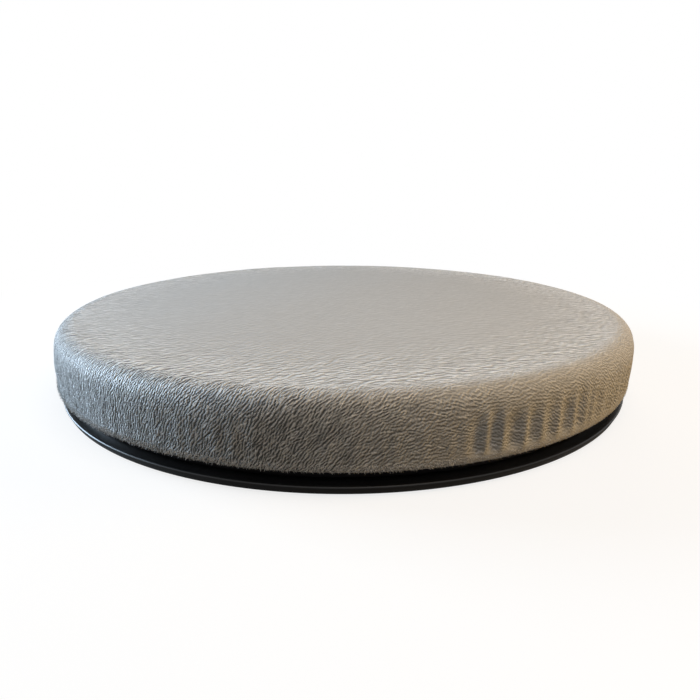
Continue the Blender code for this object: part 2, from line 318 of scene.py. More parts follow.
plushLook = {
    "dark": (0.07, 0.069, 0.067, 1),     # between the tufts, partly the pile's own tone and partly painted shade
    "mid": (0.47, 0.466, 0.456, 1),
    "light": (0.86, 0.856, 0.844, 1),    # tips of the pile, partly their own tone and partly a painted highlight
    "topLie": math.radians(20),          # which way the pile lies, on the cloth laid flat
    "sideLie": math.radians(45),
    "pull": (0.65, 0.05),                # how much the lie bends down on the right, and how soon
    "drift": 45.0,                       # how often the lie wanders
    "wander": 0.003,                     # and how far
    "topTuft": (0.003, 0.0062, 0.25),    # spacing, length, and how unlike each other the tufts are
    "sideTuft": (0.00155, 0.0038, 0.5),
    "crushed": (130.0, 0.5),             # closeness and weight of the patches where the pile is pressed
    "fuzz": (1300.0, 0.45),              # and of the single hairs
    "level": 0.8,                        # height in the pile that has the plain tone
    "litFrontToBack": (0.535, 0.465),           # that tone at the front and the back, painted light that makes the cloth lighter at the front and darker at the back
    "litFrontToBackReach": (-0.18, 0.18),
    "partedAndShaded": -0.1,                      # how much the tone drops on the side: painted shade where the cloth turns down from the top
    "topContrast": 0.22,                 # the pile lies closed on top, and parts on the side
    "sideContrast": 1.15,
    "grazedContrast": (14.0, 0.35, 4.0),        # how fast that grows leftwards on the side, its least and most: stronger painted shade and highlight in the streaks where the light grazes the left side, with deeper relief
    "topContrastScale": 0.8,
    "opening": (0.118, 0.2),             # distances from the middle, along the cloth
    "sideShadeReach": (0.188, 0.198),
    "parting": (0.176, 0.198),
    "hem": (0.2215, 0.225),
    "smoothFrom": (0.02, 0.08),          # the hem gets smoother between these places on the right
    "smoothed": -0.8,
    "depth": 0.0011,
    "relief": 0.8,
    "roughness": (0.95, 0.48),           # on top and on the side
    "fibreRoughness": 0.7,
    "shine": 0.3,
}


def layPile(tree, place, lie, tuft):
    return addNode(
        tree,
        "ShaderNodeGroup",
        {"Vector": place, "Lie": lie, "Spacing": tuft[0], "Length": tuft[1], "Broken": tuft[2]},
        node_tree=lyingFibres,
    ).outputs[0]


def bendLie(tree, cloth, sideways):  # where the pile's pattern is read, so that its lie bends and wanders
    most, soon = plushLook["pull"]
    right = calculate(tree, "MAXIMUM", sideways, 0.0)
    square = calculate(tree, "MULTIPLY_ADD", right, right, soon ** 2)
    root = calculate(tree, "SQRT", square)
    bend = calculate(tree, "MULTIPLY_ADD", root, most, -most * soon)
    bent = addNode(tree, "ShaderNodeCombineXYZ", {1: bend}).outputs[0]
    pulled = addNode(tree, "ShaderNodeVectorMath", {0: cloth, 1: bent}, operation="ADD").outputs[0]
    drift = cloudy(tree, cloth, plushLook["drift"])["Color"]
    return addNode(
        tree,
        "ShaderNodeVectorMath",
        {0: drift, 1: (plushLook["wander"],) * 3, 2: pulled},
        operation="MULTIPLY_ADD",
    ).outputs[0]


def pileHeight(tree, cloth, place, parting):
    closed = layPile(tree, place, plushLook["topLie"], plushLook["topTuft"])
    partedAndShaded = layPile(tree, place, plushLook["sideLie"], plushLook["sideTuft"])
    pile = mixed(tree, parting, closed, partedAndShaded)
    crushed = cloudy(tree, cloth, plushLook["crushed"][0], 3.0, 0.6)["Fac"]
    fuzz = cloudy(tree, cloth, plushLook["fuzz"][0])["Fac"]
    fuzzy = calculate(tree, "MULTIPLY_ADD", fuzz, plushLook["fuzz"][1], pile)
    height = calculate(tree, "MULTIPLY_ADD", crushed, plushLook["crushed"][1], fuzzy)
    return calculate(tree, "SUBTRACT", height, plushLook["level"])


def pileContrast(tree, reach, opening, parting, sideways):
    opened = spread(tree, opening, (0.0, 1.0), (plushLook["topContrast"], plushLook["sideContrast"]))
    growth, least, most = plushLook["grazedContrast"]
    # the streaks' painted shade and highlight, and their relief, grow leftwards on the side where the light
    # grazes
    leftwards = calculate(tree, "MULTIPLY", sideways, -growth)
    grown = calculate(tree, "EXPONENT", leftwards)
    grazedContrast = addNode(tree, "ShaderNodeClamp", {"Value": grown, "Min": least, "Max": most}).outputs[0]
    streakScale = mixed(tree, parting, plushLook["topContrastScale"], grazedContrast)
    rough = calculate(tree, "MULTIPLY", opened, streakScale)
    atHem = between(tree, reach, plushLook["hem"])
    atRight = between(tree, sideways, plushLook["smoothFrom"], 0.0, plushLook["smoothed"])
    smoothed = calculate(tree, "MULTIPLY_ADD", atHem, atRight, 1.0)
    return calculate(tree, "MULTIPLY", rough, smoothed)


def makePlush():
    material, tree, shader = newMaterial("plush")
    cloth = addNode(tree, "ShaderNodeUVMap", uv_map="fabric").outputs[0]  # the cloth laid flat, in metres
    reach = addNode(tree, "ShaderNodeVectorMath", {0: cloth}, operation="LENGTH").outputs["Value"]
    opening = between(tree, reach, plushLook["opening"])
    parting = between(tree, reach, plushLook["parting"])
    split = addNode(tree, "ShaderNodeSeparateXYZ", {0: cloth}).outputs
    place = bendLie(tree, cloth, split["X"])
    height = pileHeight(tree, cloth, place, parting)
    contrast = pileContrast(tree, reach, opening, parting, split["X"])
    # painted light: lighter at the front of the cloth, darker at the back
    plain = spread(tree, split["Y"], plushLook["litFrontToBackReach"], plushLook["litFrontToBack"])
    # painted shade on the side, below the shoulder
    sideShade = between(tree, reach, plushLook["sideShadeReach"], 0.0, plushLook["partedAndShaded"])
    level = calculate(tree, "ADD", plain, sideShade)
    tone = calculate(tree, "MULTIPLY_ADD", height, contrast, level)
    # the pile's tone, partly its own and partly painted shade between the tufts and a painted highlight on
    # their tips
    stops = [(0.0, plushLook["dark"]), (0.5, plushLook["mid"]), (1.0, plushLook["light"])]
    shade = tinted(tree, tone, stops)
    dullness = spread(tree, opening, (0.0, 1.0), plushLook["roughness"])
    tree.links.new(shade, shader.inputs["Base Color"])
    tree.links.new(dullness, shader.inputs["Roughness"])
    giveRelief(tree, shader, tone, plushLook["relief"], plushLook["depth"])
    shader.inputs["Specular IOR Level"].default_value = plushLook["shine"]
    return material


def makeFringeFibre():
    material, tree, shader = newMaterial("hemFibre")
    tone = addNode(tree, "ShaderNodeAttribute", attribute_name="tone").outputs["Fac"]
    shade = tinted(tree, tone, [(0.0, plushLook["mid"]), (1.0, plushLook["light"])])
    tree.links.new(shade, shader.inputs["Base Color"])
    shader.inputs["Roughness"].default_value = plushLook["fibreRoughness"]
    shader.inputs["Specular IOR Level"].default_value = plushLook["shine"]
    return material


plasticLook = {
    "colour": (0.004, 0.004, 0.0042, 1),
    "worn": (0.008, 0.008, 0.0084, 1),
    "roughness": (0.33, 0.45),
    "grain": 1500.0,
    "grainDepth": 0.00003,
    "patches": 35.0,
    "shine": 0.33,
}

nylonLook = {
    "colour": (0.66, 0.65, 0.6, 1),
    "worn": (0.74, 0.73, 0.69, 1),
    "roughness": (0.4, 0.55),
    "grain": 1200.0,
    "grainDepth": 0.00003,
    "patches": 35.0,
    "shine": 0.5,
}

rubberLook = {
    "colour": (0.017, 0.017, 0.017, 1),
    "worn": (0.034, 0.033, 0.032, 1),
    "roughness": (0.7, 0.9),
    "grain": 1000.0,
    "grainDepth": 0.0001,
    "patches": 35.0,
    "shine": 0.3,
}

platedLook = {
    "colour": (0.62, 0.62, 0.6, 1),
    "worn": (0.5, 0.5, 0.49, 1),
    "roughness": (0.25, 0.42),
    "grain": 900.0,
    "grainDepth": 0.00001,
    "patches": 120.0,
    "shine": 0.5,
}

polishedLook = {
    "colour": (0.68, 0.68, 0.69, 1),
    "worn": (0.58, 0.58, 0.6, 1),
    "roughness": (0.08, 0.2),
    "grain": 900.0,
    "grainDepth": 0.00001,
    "patches": 120.0,
    "shine": 0.5,
}

mouldedSurface = {
    "colourLimits": (0.35, 0.75),   # how far the patches have gone when each colour is full
    "glossLimits": (0.3, 0.7),
    "relief": 0.6,
}


def makeMoulded(name, look, metallic=0.0):
    material, tree, shader = newMaterial(name)
    place = addNode(tree, "ShaderNodeTexCoord").outputs["Object"]
    surface = addNode(
        tree,
        "ShaderNodeGroup",
        {"Vector": place, "Fine": look["grain"], "Broad": look["patches"]},
        node_tree=mouldGrain,
    ).outputs
    start, end = mouldedSurface["colourLimits"]
    shade = tinted(tree, surface["Patches"], [(start, look["colour"]), (end, look["worn"])])
    gloss = spread(tree, surface["Patches"], mouldedSurface["glossLimits"], look["roughness"])
    tree.links.new(shade, shader.inputs["Base Color"])
    tree.links.new(gloss, shader.inputs["Roughness"])
    giveRelief(tree, shader, surface["Height"], mouldedSurface["relief"], look["grainDepth"])
    shader.inputs["Specular IOR Level"].default_value = look["shine"]
    shader.inputs["Metallic"].default_value = metallic
    return material


foamLook = {
    "fresh": (0.74, 0.68, 0.5, 1),
    "yellowed": (0.66, 0.58, 0.38, 1),
    "patches": 22.0,
    "cells": 900.0,
    "cellDepth": 0.0003,
    "relief": 0.7,
    "roughness": 0.95,
}


def makeFoam():
    material, tree, shader = newMaterial("foam")
    place = addNode(tree, "ShaderNodeTexCoord").outputs["Object"]
    cells = addNode(
        tree,
        "ShaderNodeTexVoronoi",
        {"Vector": place, "Scale": foamLook["cells"]},
        feature="DISTANCE_TO_EDGE",
    ).outputs["Distance"]
    patches = cloudy(tree, place, foamLook["patches"], 4.0)["Fac"]
    shade = tinted(tree, patches, [(0.0, foamLook["fresh"]), (1.0, foamLook["yellowed"])])
    tree.links.new(shade, shader.inputs["Base Color"])
    giveRelief(tree, shader, cells, foamLook["relief"], foamLook["cellDepth"])
    shader.inputs["Roughness"].default_value = foamLook["roughness"]
    return material


braidLook = {
    "dark": (0.04, 0.04, 0.04, 1),
    "light": (0.2, 0.2, 0.2, 1),
    "strands": (900.0, 5.0),             # along the cord and across it
    "depth": 0.0002,
    "relief": 0.7,
    "roughness": 0.8,
}


def makeBraid():
    material, tree, shader = newMaterial("braidedElastic")
    place = addNode(tree, "ShaderNodeUVMap", uv_map="UVMap").outputs[0]
    along, across = braidLook["strands"]
    strands = []
    for turned in (across, -across):
        wound = addNode(tree, "ShaderNodeMapping", {"Vector": place, "Scale": (along, turned, 1.0)})
        strands.append(addNode(
            tree,
            "ShaderNodeTexWave",
            {"Vector": wound.outputs[0], "Scale": 1.0},
            bands_direction="DIAGONAL",
        ).outputs["Fac"])
    height = calculate(tree, "MAXIMUM", *strands)
    shade = tinted(tree, height, [(0.0, braidLook["dark"]), (1.0, braidLook["light"])])
    tree.links.new(shade, shader.inputs["Base Color"])
    giveRelief(tree, shader, height, braidLook["relief"], braidLook["depth"])
    shader.inputs["Roughness"].default_value = braidLook["roughness"]
    return material


plush = makePlush()
hemFibre = makeFringeFibre()
blackPlastic = makeMoulded("blackPlastic", plasticLook)
nylon = makeMoulded("nylon", nylonLook)
rubber = makeMoulded("rubber", rubberLook)
platedSteel = makeMoulded("platedSteel", platedLook, metallic=1.0)
polishedSteel = makeMoulded("polishedSteel", polishedLook, metallic=1.0)
foam = makeFoam()
braid = makeBraid()
print("materials made")


# the plush cover

coverShape = {
    "radius": 0.197,            # at its widest
    "topEdge": 0.0486,
    "widestHeight": 0.0305,
    "shoulderReach": 0.0146,
    "shoulderFullness": 0.65,   # lower is squarer
    "crown": 0.002,             # how much higher the middle is than the edge of the top
    "hemRadius": 0.1964,
    "hemRound": 0.003,
    "hemHeight": 0.0148,
    "casingRadius": 0.1903,
    "casingHeight": 0.0123,
    "casingRound": 0.0022,
    "hookEnd": -240,            # degrees
    "wall": 0.001,
    "topSteps": 12,
    "shoulderSteps": 15,
    "sideSteps": 12,
    "hemSteps": 5,
    "casingSteps": 6,
    "sectors": 960,
}

gathers = {
    "count": 120,               # folds all the way round
    "turned": 0.9,              # degrees
    "stray": 0.33,              # how far a fold is from its even place, as a share of the spacing
    "lean": 0.14,               # how far a fold leans over its height, as a share of the spacing
    "uneven": (0.7, 1.1),       # least and most share of the depth that a fold has
    "depth": 0.0027,
    "swell": 0.0004,            # how far the ridges stand out
    "narrowness": 1.3,          # above 1 the valleys are narrower than the ridges
    "faint": 0.1,               # share of the depth away from the drawn-up stretches
    "stretches": [              # their middles and half widths in degrees, and their shares of the depth
        (-68, 6.6, 0.95),
        (-60, 10, 0.68),
        (-38, 26, 0.3),
        (96, 45, 0.6),
        (174, 20, 0.35),
    ],
    "onset": 2.2,               # how soon a stretch comes to its full share
    "foot": 0.0142,             # height where the folds begin
    "footShare": 0.1,           # and the share of the depth that they have there
    "full": (0.0205, 0.0265),   # the folds are deepest between these heights
    "fade": (0.037, 0.045),     # and run out between these
}

slackness = {
    "slump": 0.0003,               # height of the broad waves in the top
    "slumpScale": 16,
    "dimple": 0.00008,             # and of the small ones
    "dimpleScale": 75,
    "dimpleShift": (4, 0, 0),
    "topHeights": (0.03, 0.045),   # both grow between these heights
    "sideRadius": 0.185,           # the side and shoulder lie outside this radius and above this height
    "sideFoot": 0.0115,
    "sideDimple": 0.00012,
    "pressed": 0.001,              # how far the left shoulder is pushed in
    "pressedReach": (0.14, 0.19),
    "pressedHeights": (0.026, 0.038),
}


def topAndShoulder(shape):
    flat = shape["radius"] - shape["shoulderReach"]
    rise = shape["topEdge"] - shape["widestHeight"]
    points = []
    for i in range(shape["topSteps"]):
        share = i / shape["topSteps"]
        points.append((flat * share, shape["topEdge"] + shape["crown"] * (1 - share ** 2)))
    for i in range(shape["shoulderSteps"] + 1):
        angle = math.pi / 2 * (1 - i / shape["shoulderSteps"])
        out = max(math.cos(angle), 0.0) ** shape["shoulderFullness"] if i else 0.0
        up = math.sin(angle) ** shape["shoulderFullness"]
        points.append((flat + shape["shoulderReach"] * out, shape["widestHeight"] + rise * up))
    return points


def hemTangent(shape):  # where the turn leaves for the casing, in degrees
    across = shape["hemRadius"] - shape["hemRound"] - shape["casingRadius"]
    down = shape["hemHeight"] - shape["casingHeight"]
    lean = math.asin((shape["hemRound"] - shape["casingRound"]) / math.hypot(across, down))
    return math.degrees(math.atan2(down, across) - lean) - 90


def coverOutline(shape):
    points = topAndShoulder(shape)
    draw = shape["radius"] - shape["hemRadius"]
    for i in range(1, shape["sideSteps"] + 1):
        share = i / shape["sideSteps"]
        height = shape["widestHeight"] - (shape["widestHeight"] - shape["hemHeight"]) * share
        points.append((shape["hemRadius"] + draw * (1 - share ** 2), height))
    tangent = hemTangent(shape)
    turn = (shape["hemRadius"] - shape["hemRound"], shape["hemHeight"])
    points += arcPoints(turn, shape["hemRound"], 0, tangent, shape["hemSteps"])[1:]
    casing = (shape["casingRadius"], shape["casingHeight"])
    points += arcPoints(casing, shape["casingRound"], tangent, shape["hookEnd"], shape["casingSteps"])
    return points


def markRun(piece, outline):  # each point's distance from the middle, along the cloth
    runs = [0.0]
    for here, there in zip(outline, outline[1:]):
        runs.append(runs[-1] + math.dist(here, there))
    run = piece.data.attributes.new("run", "FLOAT", "POINT")
    for vertex in piece.data.vertices:
        place = (vertex.co.x, vertex.co.z)
        nearest = min(range(len(outline)), key=lambda i: math.dist(outline[i], place))
        run.data[vertex.index].value = runs[nearest]


def layClothFlat(piece):
    run = piece.data.attributes["run"].data
    layer = piece.data.uv_layers.new(name="fabric")
    for loop in piece.data.loops:
        corner = piece.data.vertices[loop.vertex_index]
        around = math.atan2(corner.co.y, corner.co.x)
        reach = run[corner.index].value
        layer.data[loop.index].uv = (reach * math.cos(around), reach * math.sin(around))


def smoothStep(value, start=0.0, end=1.0):  # from 0 at the start to 1 at the end
    share = min(max((value - start) / (end - start), 0.0), 1.0)
    return share * share * (3 - 2 * share)


def makeFolds():  # each fold has its own place, lean, depth and height
    draw = random.Random(11)
    folds = []
    for i in range(gathers["count"]):
        folds.append({
            "place": i + draw.uniform(-1, 1) * gathers["stray"],
            "lean": draw.uniform(-1, 1) * gathers["lean"],
            "share": draw.uniform(*gathers["uneven"]),
            "fade": draw.uniform(*gathers["fade"]),
        })
    return folds


folds = makeFolds()


def foldPlace(index, height):
    rounds, number = divmod(index, gathers["count"])
    fold = folds[number]
    lifted = (height - gathers["full"][0]) / (gathers["fade"][1] - gathers["full"][0])
    return rounds * gathers["count"] + fold["place"] + fold["lean"] * min(max(lifted, 0.0), 1.0)


def gatherDepth(around, height):
    degrees = math.degrees(around)
    strength = gathers["faint"]
    for middle, halfWidth, most in gathers["stretches"]:
        away = abs((degrees - middle + 180) % 360 - 180)
        strength = max(strength, most * smoothStep(gathers["onset"] * (1 - away / halfWidth)))
    here = (degrees - gathers["turned"]) / 360 * gathers["count"]
    near = math.floor(here) - 2
    while foldPlace(near + 1, height) < here:
        near += 1
    before = foldPlace(near, height)
    after = foldPlace(near + 1, height)
    fold = folds[near % gathers["count"]]
    valley = max(math.sin(math.pi * (here - before) / (after - before)), 0.0) ** gathers["narrowness"]
    low, high = gathers["full"]
    if height < low:
        least = gathers["footShare"]
        rise = least + (1 - least) * smoothStep(height, gathers["foot"], low)
    else:
        rise = smoothStep(height, fold["fade"], high)
    return strength * rise * (gathers["depth"] * valley * fold["share"] - gathers["swell"] * (1 - valley))


def shapeCloth(piece):
    for vertex in piece.data.vertices:
        place = vertex.co
        radius = math.hypot(place.x, place.y)
        slump = noise.noise(place * slackness["slumpScale"])
        dimple = noise.noise(place * slackness["dimpleScale"] + Vector(slackness["dimpleShift"]))
        uneven = slackness["slump"] * slump + slackness["dimple"] * dimple
        place.z += uneven * smoothStep(place.z, *slackness["topHeights"])
        if radius > slackness["sideRadius"] and place.z > slackness["sideFoot"]:
            inwards = gatherDepth(math.atan2(place.y, place.x), place.z)
            inwards += slackness["sideDimple"] * (1 + dimple)
            atLeft = smoothStep(-place.x, *slackness["pressedReach"])
            inwards += slackness["pressed"] * atLeft * smoothStep(place.z, *slackness["pressedHeights"])
            place.x -= inwards * place.x / radius
            place.y -= inwards * place.y / radius


def makeCover():
    outline = coverOutline(coverShape)
    cover = drawOutline("plushCover", outline, closed=False)
    markRun(cover, outline)
    spinRound(cover, coverShape["sectors"])
    shapeCloth(cover)
    layClothFlat(cover)
    wall = cover.modifiers.new("wall", "SOLIDIFY")
    wall.thickness = coverShape["wall"]
    wall.offset = -1
    wall.use_even_offset = True
    applyModifiers(cover)
    smoothOver(cover, 70)
    finishPiece(cover, plush, "seat", "plush", "plush_cover")
    return cover


cover = makeCover()
print("cover made:", len(cover.data.polygons), "faces")


# the frayed pile along the hem

fringeShape = {
    "bandTop": 0.0165,
    "bandEnd": -40,                              # degrees round the hem
    "bandSteps": 4,
    "sectors": 240,
    "sunk": 0.0001,                              # how deep the strands' feet are in the cloth
    "count": 12000,
    "length": 0.0012,
    "width": 0.00011,
    "curl": [(0.00009, 0.7), (0.00027, 0.12)],   # how far each half leans over, and how much it narrows
    "out": 1.0,                                  # the strands head outwards, down and astray in these parts
    "down": 0.35,
    "loose": 0.5,
    "shortest": 0.45,
    "longest": 1.25,
    "flattened": (0.02, 0.12, 0.4),              # from this far right, to here, they shrink to this share
}


def makeStrand():
    bpy.ops.object.select_all(action="DESELECT")
    bpy.ops.mesh.primitive_circle_add(vertices=3, radius=fringeShape["width"], fill_type="NGON")
    strand = bpy.context.object
    strand.name = "strand"
    editAll(strand)
    half = fringeShape["length"] / 2
    for sideways, width in fringeShape["curl"]:
        bpy.ops.mesh.extrude_region_move(TRANSFORM_OT_translate={"value": (sideways, 0, half)})
        bpy.ops.transform.resize(value=(width, width, 1))
    bpy.ops.mesh.select_all(action="SELECT")
    bpy.ops.mesh.normals_make_consistent(inside=False)
    leaveEdit()
    return strand


def scatterTree(strand, density):
    tree = bpy.data.node_groups.new("scatterStrands", "GeometryNodeTree")
    tree.interface.new_socket("Geometry", in_out="INPUT", socket_type="NodeSocketGeometry")
    tree.interface.new_socket("Geometry", in_out="OUTPUT", socket_type="NodeSocketGeometry")
    given = tree.nodes.new("NodeGroupInput").outputs[0]
    result = tree.nodes.new("NodeGroupOutput").inputs[0]
    points = addNode(
        tree,
        "GeometryNodeDistributePointsOnFaces",
        {"Mesh": given, "Density": density, "Seed": 7},
    )
    stray = addNode(
        tree,
        "FunctionNodeRandomValue",
        {0: (-1.0, -1.0, -1.0), 1: (1.0, 1.0, 1.0), "Seed": 3},
        data_type="FLOAT_VECTOR",
    )
    outwards = addNode(
        tree,
        "ShaderNodeVectorMath",
        {0: points.outputs["Normal"], 1: (fringeShape["out"],) * 3, 2: (0.0, 0.0, -fringeShape["down"])},
        operation="MULTIPLY_ADD",
    )
    heading = addNode(
        tree,
        "ShaderNodeVectorMath",
        {0: stray.outputs[0], 1: (fringeShape["loose"],) * 3, 2: outwards.outputs[0]},
        operation="MULTIPLY_ADD",
    )
    turned = addNode(
        tree,
        "FunctionNodeAlignRotationToVector",
        {"Vector": heading.outputs[0]},
        axis="Z",
    )
    size = addNode(
        tree,
        "FunctionNodeRandomValue",
        {2: fringeShape["shortest"], 3: fringeShape["longest"], "Seed": 5},
        data_type="FLOAT",
    )
    position = addNode(tree, "GeometryNodeInputPosition").outputs[0]
    right = addNode(tree, "ShaderNodeSeparateXYZ", {0: position}).outputs["X"]
    start, end, least = fringeShape["flattened"]
    flattened = spread(tree, right, (start, end), (1.0, least))
    length = calculate(tree, "MULTIPLY", size.outputs[1], flattened)
    source = addNode(tree, "GeometryNodeObjectInfo", {"Object": strand})
    placed = addNode(
        tree,
        "GeometryNodeInstanceOnPoints",
        {
            "Points": points.outputs["Points"],
            "Instance": source.outputs["Geometry"],
            "Rotation": turned.outputs[0],
            "Scale": length,
        },
    )
    toneValue = addNode(tree, "FunctionNodeRandomValue", {2: 0.0, 3: 1.0, "Seed": 11}, data_type="FLOAT")
    toned = addNode(
        tree,
        "GeometryNodeStoreNamedAttribute",
        {"Geometry": placed.outputs[0], "Name": "tone", "Value": toneValue.outputs[1]},
        data_type="FLOAT",
        domain="INSTANCE",
    )
    real = addNode(tree, "GeometryNodeRealizeInstances", {0: toned.outputs[0]})
    tree.links.new(real.outputs[0], result)
    return tree


def makeHemBand():  # a modifier turns it, as the strands need its faces in the same order each run
    sunk = fringeShape["sunk"]
    centre = (coverShape["hemRadius"] - coverShape["hemRound"], coverShape["hemHeight"])
    rounding = coverShape["hemRound"] - sunk
    outline = [(coverShape["hemRadius"] - sunk, fringeShape["bandTop"])]
    outline += arcPoints(centre, rounding, 0, fringeShape["bandEnd"], fringeShape["bandSteps"])
    band = drawOutline("hemFringe", outline, closed=False)
    turn = band.modifiers.new("turn", "SCREW")
    turn.steps = fringeShape["sectors"]
    turn.render_steps = fringeShape["sectors"]
    turn.use_merge_vertices = True
    applyModifiers(band)
    editAll(band)
    bpy.ops.mesh.normals_make_consistent(inside=False)
    leaveEdit()
    return band


def makeFringe():
    fringe = makeHemBand()
    area = sum(face.area for face in fringe.data.polygons)
    strand = makeStrand()
    scatter = fringe.modifiers.new("scatter", "NODES")
    scatter.node_group = scatterTree(strand, fringeShape["count"] / area)
    applyModifiers(fringe)
    bpy.data.objects.remove(strand)
    finishPiece(fringe, hemFibre, "seat", "plush")
    return fringe


fringe = makeFringe()
print("hem fringe made:", len(fringe.data.polygons), "faces")


# the foam and the elastic

foamShape = {
    "radius": 0.1935,
    "topEdge": 0.0473,
    "widestHeight": 0.03,
    "shoulderReach": 0.0135,
    "shoulderFullness": coverShape["shoulderFullness"],
    "crown": coverShape["crown"],
    "footRadius": 0.1925,
    "foot": 0.0171,
    "recess": 0.0145,       # over the nut
    "recessTop": 0.0225,
    "edge": 0.0008,
    "topSteps": 12,
    "shoulderSteps": 12,
    "sectors": 192,
}

elasticShape = {
    "radius": 0.0009,
    "sectors": 288,
    "facets": 12,
    "facetInset": 0.00004,
}


def makeFoamPad():
    shape = foamShape
    outline = topAndShoulder(shape)
    outline += [
        (shape["footRadius"], shape["foot"]),
        (shape["recess"], shape["foot"]),
        (shape["recess"], shape["recessTop"]),
        (0.0, shape["recessTop"]),
    ]
    pad = turnedPiece("foamPad", outline, shape["sectors"], closed=False)
    softEdges(pad, shape["edge"])
    smoothOver(pad)
    finishPiece(pad, foam, "seat", "foam", "foam_pad")


def makeElastic():
    bpy.ops.object.select_all(action="DESELECT")
    bpy.ops.mesh.primitive_torus_add(
        major_segments=elasticShape["sectors"],
        minor_segments=elasticShape["facets"],
        major_radius=coverShape["casingRadius"],
        minor_radius=elasticShape["radius"],
        location=(0, 0, coverShape["casingHeight"]),
    )
    elastic = bpy.context.object
    elastic.name = "hemElastic"
    placeInMesh(elastic)
    editAll(elastic)
    bpy.ops.mesh.inset(thickness=elasticShape["facetInset"], use_individual=True)
    leaveEdit()
    smoothOver(elastic, 60)
    finishPiece(elastic, braid, "seat", "elastic", "hem_elastic")


makeFoamPad()
makeElastic()
print("foam and elastic made")


# the two plates

race = {
    "radius": 0.11,        # of the circle of balls
    "height": 0.0095,      # of their middles
    "round": 0.0043,       # of the track's section
    "lip": 0.0018,         # from the balls' middles to either half of the track
    "wall": 0.003,
    "steps": 12,
}
trackHalf = math.sqrt(race["round"] ** 2 - race["lip"] ** 2) + race["wall"]
race["inside"] = race["radius"] - trackHalf
race["outside"] = race["radius"] + trackHalf
race["edge"] = math.degrees(math.asin(race["lip"] / race["round"]))

baseShape = {
    "rim": 0.195,
    "rimFoot": 0.1934,
    "rimInside": 0.1908,
    "ledge": 0.1828,
    "foot": 0.0008,
    "under": 0.002,
    "top": 0.0042,
    "rimTop": 0.0052,
    "rimRound": 0.0008,
    "hub": 0.022,
    "hubTop": 0.0086,
    "boltHole": 0.0043,
    "headHole": 0.0093,
    "headRoom": 0.0043,
    "collar": 0.0133,
    "ribFoot": 0.0011,     # the collars round the pads end here too
    "edge": 0.00025,
    "sectors": 320,
}

turntableShape = {
    "flange": 0.1951,
    "flangeRound": 0.0006,
    "under": 0.0148,
    "top": 0.0168,
    "skirt": 0.1878,
    "skirtWall": 0.002,
    "skirtFoot": 0.006,
    "hub": 0.022,
    "hubUnder": 0.0104,
    "bushHole": 0.0063,
    "recess": 0.0135,
    "recessFloor": 0.0139,
    "ribFoot": 0.0128,
    "edge": 0.00025,
    "sectors": 256,
}

ribShape = {
    "count": 16,
    "thickness": 0.0016,
    "sink": 0.0005,        # how far their ends and tops run into the plate
    "round": 0.00025,
}

padShape = {
    "count": 8,
    "circle": 0.165,
    "radius": 0.011,
    "top": 0.0017,
    "bevel": 0.0003,
    "grooves": (0.0084, 0.0058, 0.0032),   # radii of their middles
    "grooveWidth": 0.0009,
    "grooveFloor": 0.6,                    # width at the floor, as a share
    "grooveDepth": 0.0005,
    "sectors": 40,
}

collarShape = {"gap": 0.0003, "wall": 0.0014, "edge": 0.0002, "sectors": 48}


def makeRibs(name, inner, outer, under, top):
    inner -= ribShape["sink"]
    outer += ribShape["sink"]
    top += ribShape["sink"]
    bpy.ops.object.select_all(action="DESELECT")
    bpy.ops.mesh.primitive_cube_add(
        size=1,
        location=((inner + outer) / 2, 0, (under + top) / 2),
        scale=(outer - inner, ribShape["thickness"], top - under),
    )
    rib = bpy.context.object
    rib.name = name
    placeInMesh(rib)
    editAll(rib)
    bpy.ops.mesh.bevel(offset=ribShape["round"], segments=2, affect="EDGES")
    leaveEdit()
    copiesRound(rib, ribShape["count"], math.pi / ribShape["count"])
    return rib


def makeCollars():  # the base plate's rings round the pads
    inner = padShape["radius"] + collarShape["gap"]
    outer = inner + collarShape["wall"]
    foot = baseShape["ribFoot"]
    top = baseShape["under"] + ribShape["sink"]
    collar = turnedPiece(
        "padCollars",
        [(outer, top), (outer, foot), (inner, foot), (inner, top)],
        collarShape["sectors"],
    )
    softEdges(collar, collarShape["edge"])
    editAll(collar)
    bpy.ops.transform.translate(value=(padShape["circle"], 0, 0))
    leaveEdit()
    copiesRound(collar, padShape["count"])
    return collar


def makeBasePlate():
    shape = baseShape
    track = (race["radius"], race["height"])
    ridgeTop = race["height"] - race["lip"]
    rimTurn = (shape["rim"] - shape["rimRound"], shape["rimTop"] - shape["rimRound"])
    outline = [
        (shape["boltHole"], shape["hubTop"]),
        (shape["hub"], shape["hubTop"]),
        (shape["hub"], shape["top"]),
        (race["inside"], shape["top"]),
        (race["inside"], ridgeTop),
        *arcPoints(track, race["round"], 180 + race["edge"], 360 - race["edge"], race["steps"]),
        (race["outside"], ridgeTop),
        (race["outside"], shape["top"]),
        (shape["ledge"], shape["top"]),
        (shape["ledge"], shape["rimTop"]),
        *arcPoints(rimTurn, shape["rimRound"], 90, 0, 6),
        (shape["rimFoot"], shape["foot"]),
        (shape["rimInside"], shape["foot"]),
        (shape["rimInside"], shape["under"]),
        (shape["collar"], shape["under"]),
        (shape["collar"], shape["foot"]),
        (shape["headHole"], shape["foot"]),
        (shape["headHole"], shape["headRoom"]),
        (shape["boltHole"], shape["headRoom"]),
    ]
    plate = turnedPiece("basePlate", outline, shape["sectors"])
    softEdges(plate, shape["edge"])
    ribs = makeRibs("baseRibs", shape["collar"], shape["rimInside"], shape["ribFoot"], shape["under"])
    joinPieces(plate, [ribs, makeCollars()])
    smoothOver(plate)
    finishPiece(plate, blackPlastic, "base", "black_plastic", "base_plate")


